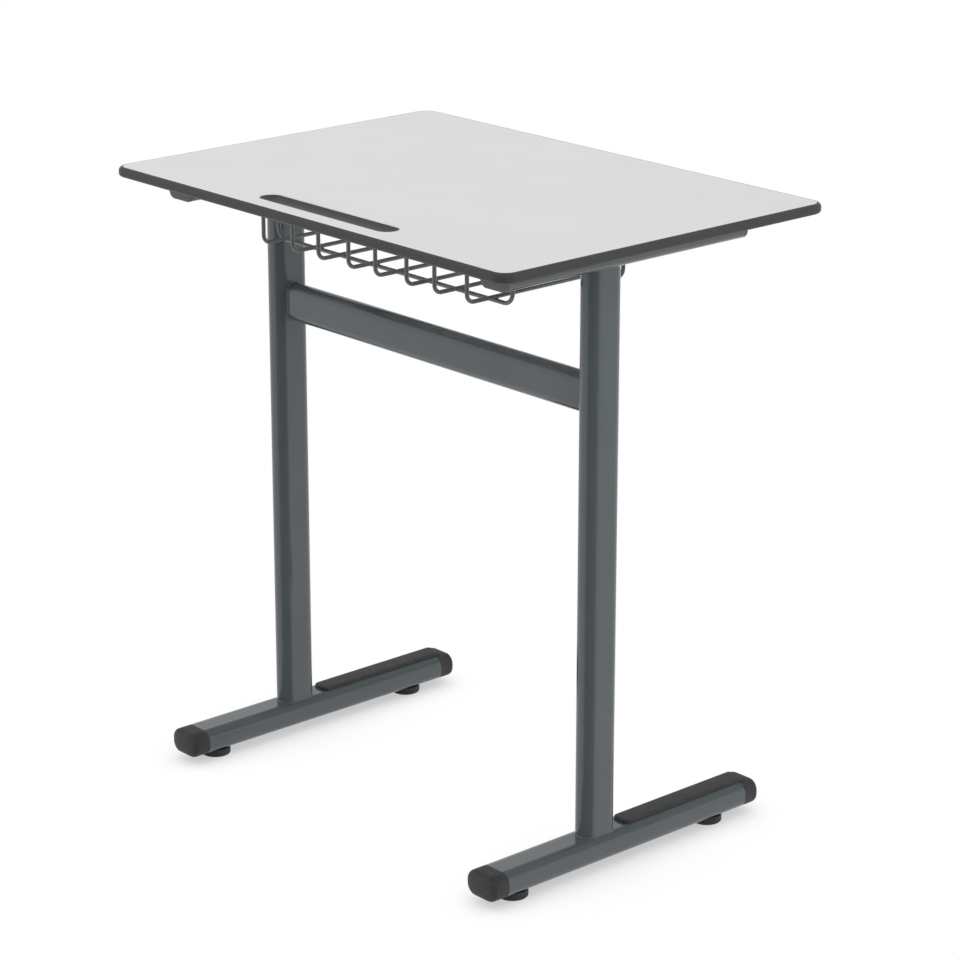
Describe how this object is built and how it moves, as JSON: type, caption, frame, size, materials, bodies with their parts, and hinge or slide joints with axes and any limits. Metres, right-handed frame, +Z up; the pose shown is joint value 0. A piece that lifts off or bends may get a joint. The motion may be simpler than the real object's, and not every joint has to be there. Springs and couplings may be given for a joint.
{
  "type": "school desk",
  "caption": "School desk with a thin laminate top and pen groove, T-shaped tube legs joined by a crossbar, levelling glides and a wire book basket.",
  "frame": {"origin": "on the floor under the middle of the worktop", "axes": "+Z up, +X along the worktop's long side to the seated pupil's right, +Y away from the pupil towards the edge with the pen groove"},
  "size_m": [0.7, 0.5, 0.76],
  "materials": {
    "laminate_light": "fine-grained light grey laminate, matt",
    "compact_core": "dark grey solid core, satin",
    "painted_steel": "semi-gloss dark blue-grey powder coat",
    "basket_wire": "semi-gloss dark grey powder coat",
    "cap_plastic": "moulded dark grey plastic, fine grain",
    "arm_cap_plastic": "moulded mid grey plastic, fine grain",
    "glide_plastic": "moulded near-black plastic",
    "zinc_steel": "zinc-plated steel",
    "insert_brass": "plain brass"
  },
  "bodies": {
    "frame": {"worktop_core": "compact_core", "laminate_face": "laminate_light", "laminate_underside": "laminate_light", "worktop_inserts": "insert_brass", "arm_screws": "zinc_steel", "crossbar": "painted_steel", "weld_beads": "painted_steel", "glide_nuts": "zinc_steel", "basket_hairpins": "basket_wire", "basket_cross_wires": "basket_wire", "basket_screws": "zinc_steel", "support_arm_left": "painted_steel", "arm_cap_front_left": "arm_cap_plastic", "arm_cap_rear_left": "arm_cap_plastic", "column_left": "painted_steel", "foot_tube_left": "painted_steel", "foot_cap_front_left": "cap_plastic", "foot_cap_rear_left": "cap_plastic", "scuff_pad_left": "cap_plastic", "basket_rail_left": "basket_wire", "support_arm_right": "painted_steel", "arm_cap_front_right": "arm_cap_plastic", "arm_cap_rear_right": "arm_cap_plastic", "column_right": "painted_steel", "foot_tube_right": "painted_steel", "foot_cap_front_right": "cap_plastic", "foot_cap_rear_right": "cap_plastic", "scuff_pad_right": "cap_plastic", "basket_rail_right": "basket_wire"},
    "glide_front_left": {"glide_pad_front_left": "glide_plastic", "glide_stud_front_left": "zinc_steel"},
    "glide_front_right": {"glide_pad_front_right": "glide_plastic", "glide_stud_front_right": "zinc_steel"},
    "glide_rear_left": {"glide_pad_rear_left": "glide_plastic", "glide_stud_rear_left": "zinc_steel"},
    "glide_rear_right": {"glide_pad_rear_right": "glide_plastic", "glide_stud_rear_right": "zinc_steel"}
  },
  "joints": [
    {"name": "level_front_left", "type": "slide", "parent": "frame", "child": "glide_front_left", "axis": [0, 0, -1], "range_m": [0, 0.012]},
    {"name": "level_front_right", "type": "slide", "parent": "frame", "child": "glide_front_right", "axis": [0, 0, -1], "range_m": [0, 0.012]},
    {"name": "level_rear_left", "type": "slide", "parent": "frame", "child": "glide_rear_left", "axis": [0, 0, -1], "range_m": [0, 0.012]},
    {"name": "level_rear_right", "type": "slide", "parent": "frame", "child": "glide_rear_right", "axis": [0, 0, -1], "range_m": [0, 0.012]}
  ]
}
